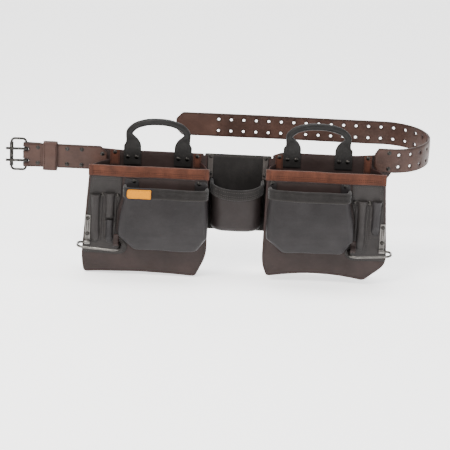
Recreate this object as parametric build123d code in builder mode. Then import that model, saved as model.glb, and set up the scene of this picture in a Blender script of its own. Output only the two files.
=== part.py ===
"""Carpenter's tool belt: two riveted leather pouches, a centre tape pocket and two belt straps.

Frame, in millimetres: X runs from the buckle end to the hole end, Y runs back towards the wearer
and Z is up. The origin is on the centre panel's back face, at the belt's centre line, so a depth
is a distance in front of the waist plane. Inside a pouch, u is the distance from the centre plane.
"""

import os

from build123d import *

# Leather and metal stock
strap_width = 50.8
strap_t = 4.5
panel_t = 4.0
wall = 3.0
trim_t = 2.0
gap = 0.3
rivet_r = 1.5
rivet_head_r = 4.5
rivet_head_h = 1.4

# Belt line
strap_depth = panel_t + strap_t / 2
hole_pitch = 27.0
hole_rows = 25.0
hole_r = 3.0
tip_chamfer = 14.0

# Centre panel and its tape pocket
centre_half = 69.7
centre_top = 23.0
centre_bottom = -140.0
centre_pocket_half = 54.0
centre_mouth = -30.0
centre_floor = -134.0
wrap_u = 72.0

# Buckle strap and buckle
buckle_z = 3.5
bend_x = -300.0
bar_x = -441.0
bar_y = -5.0
bar_r = 2.5
roller_x = -471.0
roller_r = 4.0
frame_half = 33.0
fold_end = -408.0
prong_z = (buckle_z + hole_rows / 2, buckle_z - hole_rows / 2)
keeper_x = (-404.0, -376.0)

# Tail strap: a straight start, one U-turn, then the return run behind the pouches, climbing a little
tail_z = 26.0
tail_bend_x = 325.0
tail_angle = 16.0
tail_climb = 13.5
tail_start = 9.0
turn_r = 93.0
tip_x = -137.0
first_hole = 92.0

# Pouch shells
mouth_depth = 60.0
back_drop = 0.93
mouth_band = 22.0
front_face = mouth_depth + wall
pocket_corner = 14.0
patch_t = 2.5
patch_face = front_face + patch_t

# Hammer loops
loop_wire_r = 2.5
loop_z = -161.0
loop_depth = patch_face + 4.6

# Handles
handle_leg_w = 36.0
handle_t = 3.4
handle_grip_r = 6.0
tab_depth = panel_t + handle_t / 2

pouches = {
    "left": {
        "sign": -1,
        "lift": 0.0,
        "top": 2.0,
        "mouth": (-307.0, -60.0),
        "back": (-268.0, -75.5),
        "cheek": (-317.0, -57.0),
        "cheek_z": (-195.0, -180.0),
        "foot": (-311.0, -79.0),
        "foot_z": -227.0,
        "arch": 5.0,
        "panel_top": (22.0, 22.0),
        "panel_bottom": -213.0,
        "flange": (296.0, -24.0, 25.0),
        "pocket_in": (60.0, 57.0, 77.0),
        "pocket_out": (231.0, 241.0, 210.0),
        "ears": (78.0, 211.0),
        "handle": (115.0, 220.0),
        "handle_rise": 67.0,
        "sleeves": ((289.3, -58.0, -156.0, 9.7), (259.5, -54.0, -112.0, 10.2), (259.5, -114.0, -156.0, 9.0)),
        "stays": ((85.0, 8.0, 21.0), (256.0, 10.0, 22.5)),
    },
    "right": {
        "sign": 1,
        "lift": 9.0,
        "top": 8.0,
        "mouth": (60.0, 311.0),
        "back": (75.5, 278.0),
        "cheek": (58.0, 317.0),
        "cheek_z": (-190.0, -182.0),
        "foot": (69.0, 271.0),
        "foot_z": -219.0,
        "arch": 11.0,
        "panel_top": (25.0, 32.0),
        "panel_bottom": -207.0,
        "flange": (321.0, 0.0, 40.0),
        "pocket_in": (67.0, 64.0, 94.0),
        "pocket_out": (233.0, 244.0, 223.0),
        "ears": (72.0, 222.0),
        "handle": (111.0, 218.0),
        "handle_rise": 62.0,
        "sleeves": ((259.5, -55.0, -156.0, 9.7), (289.3, -55.0, -124.0, 9.7)),
        "stays": ((85.0, 8.0, 28.0), (269.0, 8.0, 34.0)),
    },
}


def front(depth):
    """The plane at this depth in front of the waist, with X across and Z up."""
    return Plane.XZ.offset(depth)


def save(piece, label):
    piece.part.label = label
    export_step(piece.part, f"parts/{label}.step")


def plate(points, depth, thickness, mode=Mode.ADD):
    """A flat piece with this outline, from one depth forwards."""
    with BuildSketch(front(depth)) as outline:
        with BuildLine():
            Polyline(*points, close=True)
        make_face()
    extrude(outline.sketch, amount=thickness, mode=mode)


def block(x_range, depth_range, z_range, mode=Mode.ADD):
    """A rectangular piece between two values on each axis."""
    low_x, high_x = sorted(x_range)
    corners = [(low_x, z_range[0]), (high_x, z_range[0]), (high_x, z_range[1]), (low_x, z_range[1])]
    plate(corners, depth_range[0], depth_range[1] - depth_range[0], mode)


def drill(spots, depth_range):
    """Rivet holes at these (x, z) spots."""
    back, face = depth_range
    with BuildSketch(front(back)) as holes:
        with Locations(*spots):
            Circle(rivet_r)
    extrude(holes.sketch, amount=face - back, mode=Mode.SUBTRACT)


def rivet(spot, depth_range, capped=True):
    """A domed head on the front ply, a shank, and a cap behind the back ply."""
    back, face = depth_range
    with BuildSketch(front(face)) as head:
        with Locations(spot):
            Circle(rivet_head_r)
    extrude(head.sketch, amount=rivet_head_h, taper=35)
    with BuildSketch(front(back)) as shank:
        with Locations(spot):
            Circle(rivet_r)
    extrude(shank.sketch, amount=face - back)
    if capped:
        with BuildSketch(front(back)) as cap:
            with Locations(spot):
                Circle(rivet_head_r - 1)
        extrude(cap.sketch, amount=-0.8)


def pouch_outline(pouch, plane, back=False, inset=0.0, top=None):
    """The pouch's front outline, or its smaller back outline, as a face on the plane."""
    low, high = pouch["mouth"]
    low_here, high_here = pouch["back"] if back else pouch["mouth"]
    scale_x = (high_here - low_here) / (high - low)
    scale_z = back_drop if back else 1.0
    top = pouch["top"] if top is None else top

    def corner(x, z):
        inward = inset if x < (low + high) / 2 else -inset
        return (low_here + (x - low) * scale_x + inward, z * scale_z + inset)

    left_foot = corner(pouch["foot"][0], pouch["foot_z"])
    right_foot = corner(pouch["foot"][1], pouch["foot_z"])
    crown = ((left_foot[0] + right_foot[0]) / 2, left_foot[1] + pouch["arch"])
    with BuildSketch(plane) as outline:
        with BuildLine():
            Polyline(
                left_foot,
                corner(pouch["cheek"][0], pouch["cheek_z"][0]),
                (corner(pouch["mouth"][0], 0)[0], top),
                (corner(pouch["mouth"][1], 0)[0], top),
                corner(pouch["cheek"][1], pouch["cheek_z"][1]),
                right_foot,
            )
            ThreePointArc(right_foot, crown, left_foot)
        make_face()
    return outline.sketch.face()


def pocket_levels(pouch):
    """(z, inner u, outer u, depth) at each height of the front pocket, from its mouth down."""
    mouth_in, wide_in, foot_in = pouch["pocket_in"]
    mouth_out, wide_out, foot_out = pouch["pocket_out"]
    levels = (
        (-36.0, mouth_in, mouth_out, 90.0),
        (-58.0, mouth_in, mouth_out, 90.0),
        (-96.0, wide_in, wide_out, 97.0),
        (-137.0, wide_in, wide_out, 97.0),
        (-163.0, foot_in, foot_out, 92.0),
    )
    return [(z + pouch["lift"], inner, outer, depth) for z, inner, outer, depth in levels]


def plan_section(z, x_range, depth_range, radius):
    """A horizontal section with its two front corners rounded."""
    low_x, high_x = sorted(x_range)
    back, face = depth_range
    with BuildSketch(Plane.XY.offset(z)) as section:
        with Locations(((low_x + high_x) / 2, -(back + face) / 2)):
            Rectangle(high_x - low_x, face - back)
        fillet(section.vertices().sort_by(Axis.Y)[:2], radius)
    return section.sketch.face()


def loft_sections(levels, back, inset, radius, mode=Mode.ADD):
    """A ruled body through (z, low x, high x, depth) levels, with its sides moved in by the inset."""
    sections = [
        plan_section(z, (low_x + inset, high_x - inset), (back, depth - inset), radius - inset)
        for z, low_x, high_x, depth in levels
    ]
    loft(sections, ruled=True, mode=mode)


def pocket_shell(levels, back, radius):
    """An open-topped pocket, with its back left open where it is sewn to the ply behind."""
    loft_sections(levels, back, 0, radius)
    top, *rest = levels
    *upper, foot = rest
    above = (top[0] + 5, *top[1:])
    floor = (foot[0] + wall, *foot[1:])
    loft_sections([above, top, *upper, floor], back, wall, radius, Mode.SUBTRACT)


def mouth_collar(level, depth, back, radius, height):
    """A folded strip sewn round a pocket's mouth."""
    top, low_x, high_x = level
    rings = [(top - height, low_x, high_x, depth), (top + 1.5, low_x, high_x, depth)]
    loft_sections(rings, back, -trim_t, radius)
    loft_sections([(top - height - 1, *rings[0][1:]), (top, *rings[0][1:])], back, 0, radius, Mode.SUBTRACT)
    loft_sections([(top - 1, *rings[0][1:]), (top + 2, *rings[0][1:])], back, wall, radius, Mode.SUBTRACT)


def make_pouch(side, pouch):
    sign = pouch["sign"]
    lift = pouch["lift"]
    flange_u, flange_low, flange_top = pouch["flange"]
    inner_top, panel_top = pouch["panel_top"]
    handle_z = panel_top + 2.5
    stay_spots = [(sign * u, stay_top - 5) for u, _, stay_top in pouch["stays"]]
    handle_spots = [(sign * (u + dx), panel_top - 13) for u in pouch["handle"] for dx in (-9, 9)]
    strap_spots = anchor_spots[side]
    ear_spots = [(sign * u, -26 + lift) for u in pouch["ears"]]
    plate_spots = [(sign * 304.8, z + lift) for z in (-110, -143)]
    sleeve_spots = [(sign * u, -58 + lift) for u in (243.5, 274.5)]

    with BuildPart() as back_panel:
        outline = [
            (wrap_u, inner_top), (90, panel_top), (245, panel_top),
            (flange_u, flange_top), (flange_u, flange_low), (290, flange_low - 40),
            (288, pouch["panel_bottom"] + 14), (274, pouch["panel_bottom"]),
            (90, pouch["panel_bottom"]), (wrap_u, pouch["panel_bottom"] + 26),
        ]  # fmt: skip
        plate([(sign * u, z) for u, z in outline], 0, panel_t)
        edge = (pouch["panel_bottom"] + 26, inner_top)
        with Locations((sign * wrap_u, -panel_t / 2, sum(edge) / 2)):
            Cylinder(panel_t / 2, edge[1] - edge[0])
        drill(handle_spots + strap_spots + stay_spots, (0, panel_t))
    save(back_panel, f"{side}_back_panel")

    front_outline = pouch_outline(pouch, front(mouth_depth))
    with BuildPart() as gusset:
        loft([pouch_outline(pouch, front(panel_t), back=True), front_outline], ruled=True)
        opening = {"inset": wall, "top": pouch["top"] + 5}
        back_opening = pouch_outline(pouch, front(panel_t), back=True, **opening)
        front_opening = pouch_outline(pouch, front(mouth_depth), **opening)
        loft([back_opening, front_opening], ruled=True, mode=Mode.SUBTRACT)
    save(gusset, f"{side}_gusset")

    with BuildPart() as pouch_front:
        extrude(front_outline, amount=wall)
        drill(ear_spots + plate_spots + sleeve_spots, (mouth_depth, front_face))
    save(pouch_front, f"{side}_pouch_front")

    with BuildPart() as binding:
        low_x, high_x = pouch["mouth"]
        top = pouch["top"]
        block((low_x, high_x), (front_face, front_face + trim_t), (top - mouth_band + 2, top + 1.5))
        block((low_x, high_x), (mouth_depth - trim_t, front_face), (top, top + 1.5))
        inner_x = (low_x + wall + 2, high_x - wall - 2)
        block(inner_x, (mouth_depth - trim_t, mouth_depth), (top - mouth_band + 2, top))
    save(binding, f"{side}_mouth_binding")

    with BuildPart() as stays:
        for u, half, stay_top in pouch["stays"]:
            corners = [(u - half, stay_top), (u + half, stay_top), (u + 4, top - 12), (u - 4, top - 12)]
            plate([(sign * x, z) for x, z in corners], panel_t, trim_t)
        drill(stay_spots, (panel_t, panel_t + trim_t))
    save(stays, f"{side}_stays")

    levels = [(z, *sorted((sign * a, sign * b)), depth) for z, a, b, depth in pocket_levels(pouch)]
    with BuildPart() as front_pocket:
        pocket_shell(levels, front_face, pocket_corner)
        mouth_z, low_x, high_x, _ = levels[0]
        for x, z in ear_spots:
            edge_x = min(low_x, high_x, key=lambda end: abs(end - x))
            inner_x = x + (8 if x > edge_x else -8)
            block((edge_x, inner_x), (front_face, front_face + trim_t), (mouth_z - 14, z + 4.5))
        drill(ear_spots, (front_face, front_face + trim_t))
    save(front_pocket, f"{side}_front_pocket")

    with BuildPart() as pocket_binding:
        mouth_collar(levels[0][:3], levels[0][3], front_face + trim_t + gap, pocket_corner, 20)
    save(pocket_binding, f"{side}_pocket_binding")

    with BuildPart() as patch:
        high, low = pouch["top"] - mouth_band + 1.5, -184 + lift
        heel = max(222, pouch["pocket_out"][2] + 6)
        outline = [
            (306, high), (236, high), (236, -60 + lift), (247, -96 + lift), (247, -137 + lift),
            (heel, -163 + lift), (heel, low + 10), (heel + 10, low), (313, low),
        ]  # fmt: skip
        plate([(sign * u, z) for u, z in outline], front_face, patch_t)
        drill(plate_spots + sleeve_spots, (front_face, patch_face))
    save(patch, f"{side}_tool_patch")

    with BuildPart() as sleeves:
        for u, high, low, radius in pouch["sleeves"]:
            for r, mode in ((radius, Mode.ADD), (radius - trim_t, Mode.SUBTRACT)):
                with BuildSketch(Plane.XY.offset(low + lift)):
                    with BuildLine():
                        arc = ThreePointArc(
                            (sign * u - r, -patch_face), (sign * u, -patch_face - r), (sign * u + r, -patch_face)
                        )
                        Line(arc @ 1, arc @ 0)
                    make_face()
                extrude(amount=high - low, mode=mode)
    save(sleeves, f"{side}_tool_sleeves")

    hub_z = loop_z + lift
    with BuildPart() as loop_plate:
        block((sign * 299.3, sign * 310.3), (patch_face, patch_face + 1.8), (hub_z + 2, -103 + lift))
        add_barrel(sign, (299.3, 310.3), hub_z)
        drill(plate_spots, (patch_face, patch_face + 1.8))
    save(loop_plate, f"{side}_loop_plate")

    with BuildPart() as loop_tab:
        block((sign * 241, sign * 249), (patch_face, patch_face + 1.8), (hub_z + 2, -143 + lift))
        add_barrel(sign, (241, 249), hub_z)
    save(loop_tab, f"{side}_loop_tab")

    with BuildPart() as hammer_loop:
        route = [(300, loop_depth), (323, loop_depth), (323, 102), (237, 120), (235, loop_depth), (248, loop_depth)]
        with BuildLine(Plane.XY.offset(hub_z)) as wire_path:
            FilletPolyline(*[(sign * u, -depth) for u, depth in route], radius=[8, 16, 14, 5])
        start = Plane(origin=wire_path.line @ 0, z_dir=wire_path.line % 0)
        with BuildSketch(start):
            Circle(loop_wire_r)
        sweep(path=wire_path.line)
    save(hammer_loop, f"{side}_hammer_loop")

    with BuildPart() as handle_tabs:
        for u in pouch["handle"]:
            sides = (sign * (u - handle_leg_w / 2), sign * (u + handle_leg_w / 2))
            block(sides, (panel_t, panel_t + handle_t), (panel_top - 30, handle_z - handle_t / 2 - gap))
        drill(handle_spots, (panel_t, panel_t + handle_t))
    save(handle_tabs, f"{side}_handle_tabs")

    with BuildPart() as handle:
        inner_u, outer_u = pouch["handle"]
        rise = pouch["handle_rise"]
        leg_h = rise * 0.55
        lean = -5.0
        for u, toward in ((inner_u, 1), (outer_u, -1)):
            leg = [
                (u - handle_leg_w / 2, handle_z), (u + handle_leg_w / 2, handle_z),
                (u + lean * toward + handle_grip_r, handle_z + leg_h),
                (u + lean * toward - handle_grip_r, handle_z + leg_h),
            ]  # fmt: skip
            plate([(sign * x, z) for x, z in leg], panel_t, handle_t)
            with Locations(Location((sign * u, -tab_depth, handle_z), (0, 90, 0))):
                Cylinder(handle_t / 2, handle_leg_w)
        ends = [(u + lean * t, handle_z + leg_h - handle_grip_r) for u, t in ((inner_u, 1), (outer_u, -1))]
        arch_top = handle_z + rise - handle_grip_r
        with BuildLine(front(tab_depth)) as grip_path:
            corners = [ends[0], (ends[0][0] + 3, arch_top), (ends[1][0] - 3, arch_top), ends[1]]
            FilletPolyline(*[(sign * x, z) for x, z in corners], radius=26)
        with BuildSketch(Plane(origin=grip_path.line @ 0, z_dir=grip_path.line % 0)):
            Circle(handle_grip_r)
        sweep(path=grip_path.line)
    save(handle, f"{side}_handle")

    with BuildPart() as rivets:
        for spot in handle_spots:
            rivet(spot, (0, panel_t + handle_t))
        for spot in strap_spots:
            rivet(spot, (0, panel_t + strap_t))
        for spot in stay_spots:
            rivet(spot, (0, panel_t + trim_t))
        for spot in ear_spots:
            rivet(spot, (mouth_depth, front_face + trim_t))
        for spot in plate_spots:
            rivet(spot, (mouth_depth, patch_face + 1.8))
        for spot in sleeve_spots:
            rivet(spot, (mouth_depth, patch_face))
    save(rivets, f"{side}_rivets")


def add_barrel(sign, u_range, z):
    """The rolled end of a bracket, which holds one end of the hammer loop's wire."""
    length = u_range[1] - u_range[0]
    hub = Location((sign * sum(u_range) / 2, -loop_depth, z), (0, 90, 0))
    with Locations(hub):
        Cylinder(loop_wire_r + 2.1, length)
        Cylinder(loop_wire_r + 0.1, length + 2, mode=Mode.SUBTRACT)


anchor_spots = {
    "left": [(-282.0, buckle_z + 9.5), (-282.0, buckle_z - 9.5)],
    "right": [(312.0, tail_z + 17), (312.0, tail_z - 17)],
}

os.makedirs("parts", exist_ok=True)

for pouch_side, pouch_data in pouches.items():
    make_pouch(pouch_side, pouch_data)

# Yellow label tab on the left front pocket's binding
with BuildPart() as label_tag:
    tag_depth = 90.0 + trim_t
    with BuildSketch(front(tag_depth)):
        with Locations((-199.5, -46.0)):
            RectangleRounded(49, 19, 4)
    extrude(amount=1.2)
save(label_tag, "left_label_tag")

# Centre panel, tape pocket, its binding, the two side strips and their rivets
strip_x = centre_pocket_half + 3
centre_spots = [(side * strip_x, z) for side in (-1, 1) for z in (centre_top - 5, -18)]
with BuildPart() as centre_panel:
    block((-centre_half, centre_half), (0, panel_t), (centre_bottom, centre_top))
    drill(centre_spots, (1, panel_t))
save(centre_panel, "centre_back_panel")

centre_levels = [
    (centre_mouth, -centre_pocket_half, centre_pocket_half, 58.0),
    (centre_mouth - 50, -centre_pocket_half, centre_pocket_half, 58.0),
    (centre_floor, -centre_pocket_half + 1, centre_pocket_half - 1, 48.0),
]
with BuildPart() as centre_pocket:
    pocket_shell(centre_levels, panel_t, 26)
save(centre_pocket, "centre_pocket")

with BuildPart() as centre_binding:
    mouth_collar(centre_levels[0][:3], 58.0, panel_t + trim_t + gap, 26, 20)
save(centre_binding, "centre_pocket_binding")

with BuildPart() as side_strips:
    for side in (-1, 1):
        strip_sides = (side * (strip_x - 5), side * (strip_x + 5))
        block(strip_sides, (panel_t, panel_t + trim_t), (centre_mouth + 2, centre_top))
    drill(centre_spots, (panel_t, panel_t + trim_t))
save(side_strips, "centre_side_strips")

with BuildPart() as centre_rivets:
    for spot in centre_spots:
        rivet(spot, (1, panel_t + trim_t), capped=False)
save(centre_rivets, "centre_rivets")

# Buckle strap: its end folds back round the buckle's bar
strap_y = -strap_depth
fold_spots = [(-416.0, buckle_z + row) for row in (16.5, -16.5)]
stay_rivets = [(x, buckle_z + row) for x in (-355.0, -325.0) for row in (16.5, -16.5)]
with BuildPart() as buckle_strap:
    with BuildSketch(Plane.XY.offset(buckle_z - strap_width / 2)):
        with Locations(((bar_x + bend_x) / 2, strap_y)):
            Rectangle(bend_x - bar_x, strap_t)
        with Locations(((bar_x + fold_end) / 2, -2.25)):
            Rectangle(fold_end - bar_x, 3.5)
        with Locations((bar_x, bar_y)):
            Circle(bar_r + gap + 3.2)
        with Locations((bend_x, strap_y)):
            Circle(strap_t / 2)
        with Locations((bar_x, bar_y)):
            Circle(bar_r + gap, mode=Mode.SUBTRACT)
    extrude(amount=strap_width)
    for z in prong_z:
        block((-450, -426), (-5, 20), (z - 4, z + 4), Mode.SUBTRACT)
    drill(fold_spots + stay_rivets, (0, panel_t + strap_t))
save(buckle_strap, "buckle_strap")

with BuildPart() as fold_rivets:
    for spot in fold_spots:
        rivet(spot, (0.5, panel_t + strap_t))
    for spot in stay_rivets:
        rivet(spot, (panel_t, panel_t + strap_t), capped=False)
save(fold_rivets, "buckle_strap_rivets")

with BuildPart() as buckle_anchor:
    anchor_x = bend_x + strap_t / 2 + gap
    half = strap_width / 2
    anchor_outline = [
        (anchor_x, buckle_z - half), (-284, buckle_z - half), (-272, buckle_z - half + 16),
        (-272, buckle_z + half - 16), (-284, buckle_z + half), (anchor_x, buckle_z + half),
    ]  # fmt: skip
    plate(anchor_outline, panel_t, strap_t)
    drill(anchor_spots["left"], (panel_t, panel_t + strap_t))
save(buckle_anchor, "buckle_strap_anchor")

with BuildPart() as keeper:
    block(keeper_x, (0.7, 16.6), (buckle_z - 31, buckle_z + 31))
    block(keeper_x, (3.7, 13.6), (buckle_z - 28, buckle_z + 28), Mode.SUBTRACT)
save(keeper, "strap_keeper")

with BuildPart() as buckle_frame:
    with BuildLine(front(-bar_y)) as ring:
        corners = [(x, buckle_z + z) for x, z in (
            (bar_x, -frame_half), (roller_x, -frame_half), (roller_x, frame_half), (bar_x, frame_half)
        )]  # fmt: skip
        Polyline(*corners, close=True)
        fillet(ring.vertices(), 7)
    bar = ring.edges().sort_by(Axis.X)[-1]
    with BuildSketch(Plane(origin=bar @ 0, z_dir=bar % 0)):
        Circle(bar_r)
    sweep(path=Wire(ring.edges()))
save(buckle_frame, "buckle_frame")

with BuildPart() as roller:
    with Locations((roller_x, bar_y, buckle_z)):
        Cylinder(roller_r, 50)
        Cylinder(bar_r + 0.1, 52, mode=Mode.SUBTRACT)
save(roller, "buckle_roller")

for prong_name, z in zip(("upper_prong", "lower_prong"), prong_z):
    with BuildPart() as prong:
        with BuildSketch(Plane.XY.offset(z - 2.5)):
            with Locations((bar_x, bar_y)):
                Circle(bar_r + 2.5)
            rest = bar_y - roller_r - gap
            with BuildLine():
                Polyline(
                    (bar_x, bar_y - 2.6), (roller_x + 4, rest), (-481, rest), (-482.5, rest - 1.5),
                    (-481, rest - 3), (roller_x + 4, rest - 3), (bar_x, bar_y - 5), close=True,
                )  # fmt: skip
            make_face()
            with Locations((bar_x, bar_y)):
                Circle(bar_r + 0.1, mode=Mode.SUBTRACT)
        extrude(amount=5)
    save(prong, prong_name)

# Tail strap
with BuildPart() as tail_strap:
    bend = Vector(tail_bend_x, strap_y, tail_z)
    heading = Vector(1, 0, 0).rotate(Axis.Z, tail_angle)
    with BuildLine() as tail_path:
        run_out = Line(bend, bend + heading * tail_start)
        turn_centre = run_out @ 1 + Vector(0, 0, 1).cross(heading) * turn_r
        turn_points = []
        for step in range(21):
            share = step / 20
            radial = Vector(1, 0, 0).rotate(Axis.Z, tail_angle - 90 + (180 - tail_angle) * share)
            rise = tail_climb * share * share * (3 - 2 * share)
            turn_points.append(turn_centre + radial * turn_r + Vector(0, 0, rise))
        turn = Spline(*turn_points, tangents=(heading, (-1, 0, 0)))
        Line(turn @ 1, (tip_x, (turn @ 1).Y, tail_z + tail_climb))
    route = Wire(tail_path.edges())
    with BuildSketch(Plane(origin=route @ 0, x_dir=(0, 0, 1), z_dir=heading)):
        Rectangle(strap_width, strap_t)
    sweep(path=route, binormal=route.moved(Location((0, 0, 60))))
    with Locations((tail_bend_x, strap_y, tail_z)):
        Cylinder(strap_t / 2, strap_width)
    for side in (-1, 1):
        edge_z = tail_z + tail_climb + side * (strap_width / 2 + 1)
        clip = tip_chamfer + 2
        clipped = [(tip_x - 1, edge_z), (tip_x - 1 + clip, edge_z), (tip_x - 1, edge_z - side * clip)]
        plate(clipped, -190, 25, Mode.SUBTRACT)
    pairs = int((route.length - first_hole - 6) / hole_pitch) + 1
    for pair in range(pairs):
        along = 1 - (first_hole + pair * hole_pitch) / route.length
        outward = (route % along).cross(Vector(0, 0, 1))
        with BuildSketch(Plane(origin=route @ along, x_dir=(0, 0, 1), z_dir=outward)):
            with Locations((hole_rows / 2, 0), (-hole_rows / 2, 0)):
                Circle(hole_r)
        extrude(amount=strap_t, both=True, mode=Mode.SUBTRACT)
save(tail_strap, "tail_strap")

with BuildPart() as tail_anchor:
    anchor_end = tail_bend_x - strap_t / 2 - gap
    tail_outline = [
        (282, tail_z - half + 12), (290, tail_z - half), (anchor_end, tail_z - half),
        (anchor_end, tail_z + half), (290, tail_z + half), (282, tail_z + half - 12),
    ]  # fmt: skip
    plate(tail_outline, panel_t, strap_t)
    drill(anchor_spots["right"], (panel_t, panel_t + strap_t))
save(tail_anchor, "tail_strap_anchor")

print("tail strap length", round(route.length), "hole pairs", pairs)
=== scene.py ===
"""Looks for the carpenter's tool belt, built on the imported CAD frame.

Lengths in the tables and helpers are millimetres in the row frame: X across, Y back, Z up, and a
depth is a distance in front of the waist plane. Meshes are written in metres.
"""

import math

import bmesh
import bpy
import numpy as np
from mathutils import Matrix, Vector, geometry


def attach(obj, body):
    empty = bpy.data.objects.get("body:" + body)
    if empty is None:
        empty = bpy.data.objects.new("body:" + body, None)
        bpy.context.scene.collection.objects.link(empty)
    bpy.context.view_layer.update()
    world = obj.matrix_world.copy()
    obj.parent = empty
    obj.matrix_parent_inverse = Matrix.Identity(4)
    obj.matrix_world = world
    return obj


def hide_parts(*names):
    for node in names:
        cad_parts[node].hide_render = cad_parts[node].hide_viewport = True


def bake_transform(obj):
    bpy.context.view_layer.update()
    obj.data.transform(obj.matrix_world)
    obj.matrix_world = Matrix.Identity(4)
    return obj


MM = 0.001

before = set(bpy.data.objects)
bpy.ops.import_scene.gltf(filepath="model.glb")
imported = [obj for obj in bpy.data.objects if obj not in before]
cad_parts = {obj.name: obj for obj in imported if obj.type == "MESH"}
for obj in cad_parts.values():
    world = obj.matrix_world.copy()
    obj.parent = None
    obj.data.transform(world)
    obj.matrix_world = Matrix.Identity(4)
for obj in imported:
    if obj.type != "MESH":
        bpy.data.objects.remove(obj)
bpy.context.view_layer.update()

PANEL_T = 4.0
WALL = 3.0
FRONT = 63.0
PATCH = 65.5
STRAP_T = 4.5
STRAP_HALF = 25.4
STRAP_DEPTH = 6.25
BUCKLE_Z = 3.5
TAIL_Z = 26.0
TAIL_CLIMB = 13.5
FLOOR_Z = -229.5

POUCHES = {
    "left": {
        "sign": -1, "lift": 0.0, "top": 2.0,
        "mouth": (-303.5, -60.0), "back": (-268.0, -75.5),
        "cheek": (-317.0, -57.0), "cheek_z": (-195.0, -180.0),
        "foot": (-311.0, -79.0), "foot_z": -227.0, "arch": 5.0,
        "panel_top": (22.0, 22.0), "panel_bottom": -213.0, "flange": (296.0, -24.0, 25.0),
        "pocket_in": (60.0, 57.0, 77.0), "pocket_out": (231.0, 241.0, 210.0),
        "ears": (78.0, 211.0), "handle": (115.0, 220.0), "rise": 67.0,
        "sleeves": ((289.3, -58.0, -156.0, 9.7), (259.5, -54.0, -112.0, 10.2), (259.5, -110.0, -156.0, 8.4)),
        "stays": ((85.0, 8.0, 21.0), (256.0, 10.0, 22.5)),
        "anchor": [(-282.0, BUCKLE_Z + 9.5), (-282.0, BUCKLE_Z - 9.5)],
    },
    "right": {
        "sign": 1, "lift": 9.0, "top": 8.0,
        "mouth": (60.0, 304.0), "back": (75.5, 278.0),
        "cheek": (58.0, 317.0), "cheek_z": (-190.0, -182.0),
        "foot": (69.0, 271.0), "foot_z": -219.0, "arch": 11.0,
        "panel_top": (25.0, 32.0), "panel_bottom": -207.0, "flange": (321.0, 0.0, 40.0),
        "pocket_in": (67.0, 64.0, 94.0), "pocket_out": (233.0, 244.0, 223.0),
        "ears": (72.0, 222.0), "handle": (111.0, 218.0), "rise": 62.0,
        "sleeves": ((259.5, -55.0, -156.0, 9.7), (289.3, -55.0, -124.0, 9.7)),
        "stays": ((85.0, 8.0, 28.0), (269.0, 8.0, 34.0)),
        "anchor": [(312.0, TAIL_Z + 17), (312.0, TAIL_Z - 17)],
    },
}  # fmt: skip


# ---------------------------------------------------------------- shapes in the plane


def smooth(t):
    t = np.clip(t, 0, 1)
    return t * t * (3 - 2 * t)


def ripple(a, b, amount, seed):
    """Slow unevenness over a surface, the same on every run."""
    return amount * (
        np.sin(a / 37 + seed) * np.sin(b / 29 + 1.7 * seed)
        + 0.6 * np.sin(a / 17 + b / 23 + 2.3 * seed)
        + 0.3 * np.sin(a / 9 - b / 13 + 3.1 * seed)
    )


def rounded(points, radius, steps=5):
    """A closed outline with its corners turned into arcs. radius is one number or one a corner."""
    radii = radius if hasattr(radius, "__len__") else [radius] * len(points)
    out = []
    for i, p in enumerate(points):
        p = np.array(p, float)
        before, after = (np.array(points[j % len(points)], float) for j in (i - 1, i + 1))
        if radii[i] <= 0:
            out.append(p)
            continue
        ends = []
        for q in (before, after):
            side = q - p
            reach = min(radii[i], np.linalg.norm(side) * 0.48)
            ends.append(p + side / np.linalg.norm(side) * reach)
        for t in np.linspace(0, 1, steps):
            out.append((1 - t) ** 2 * ends[0] + 2 * t * (1 - t) * p + t * t * ends[1])
    return np.array(out)


def resample(points, step, closed=True):
    """Points about one step apart along a polyline, with its corners kept."""
    points = np.array(points, float)
    ends = np.roll(points, -1, axis=0) if closed else points[1:]
    out = []
    for p, q in zip(points, ends):
        parts = max(1, round(float(np.linalg.norm(q - p)) / step))
        out += [p + (q - p) * i / parts for i in range(parts)]
    if not closed:
        out.append(points[-1])
    return np.array(out)


def curve(points, count):
    """A smooth line through the points, as count points evenly spaced along it."""
    p = np.array(points, float)
    p = np.vstack([2 * p[0] - p[1], p, 2 * p[-1] - p[-2]])
    dense = []
    for i in range(1, len(p) - 2):
        for t in np.linspace(0, 1, 24, endpoint=False):
            a, b, c, d = p[i - 1 : i + 3]
            square, cube = (2 * a - 5 * b + 4 * c - d) * t**2, (3 * b - a - 3 * c + d) * t**3
            dense.append(0.5 * (2 * b + (c - a) * t + square + cube))
    dense.append(p[-2])
    return evenly(np.array(dense), count)


def evenly(line, count):
    far = np.concatenate([[0], np.cumsum(np.linalg.norm(np.diff(line, axis=0), axis=1))])
    at = np.linspace(0, far[-1], count)
    return np.stack([np.interp(at, far, line[:, k]) for k in range(line.shape[1])], axis=1)


def inside(loop, points):
    """Which points lie in a closed outline."""
    x, y = points[:, 0], points[:, 1]
    hit = np.zeros(len(points), bool)
    for (ax, ay), (bx, by) in zip(loop, np.roll(loop, -1, axis=0)):
        if ay != by:
            crosses = (ay > y) != (by > y)
            hit ^= crosses & (x < (bx - ax) * (y - ay) / (by - ay) + ax)
    return hit


def turned(loop, clockwise):
    x, y = loop[:, 0], loop[:, 1]
    area = np.sum(x * np.roll(y, -1) - np.roll(x, -1) * y)
    return loop[::-1] if (area < 0) != clockwise else loop


def inset(loop, amount):
    """The loop moved into the material, which is on its left."""
    along = np.roll(loop, -1, axis=0) - np.roll(loop, 1, axis=0)
    along /= np.maximum(np.linalg.norm(along, axis=1), 1e-9)[:, None]
    return loop + amount * np.stack([-along[:, 1], along[:, 0]], axis=1)


def edge_path(outline, gap, step=4):
    """A line that follows an outline at this gap inside it, such as a row of stitches."""
    return inset(turned(resample(outline, step), False), gap)


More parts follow.
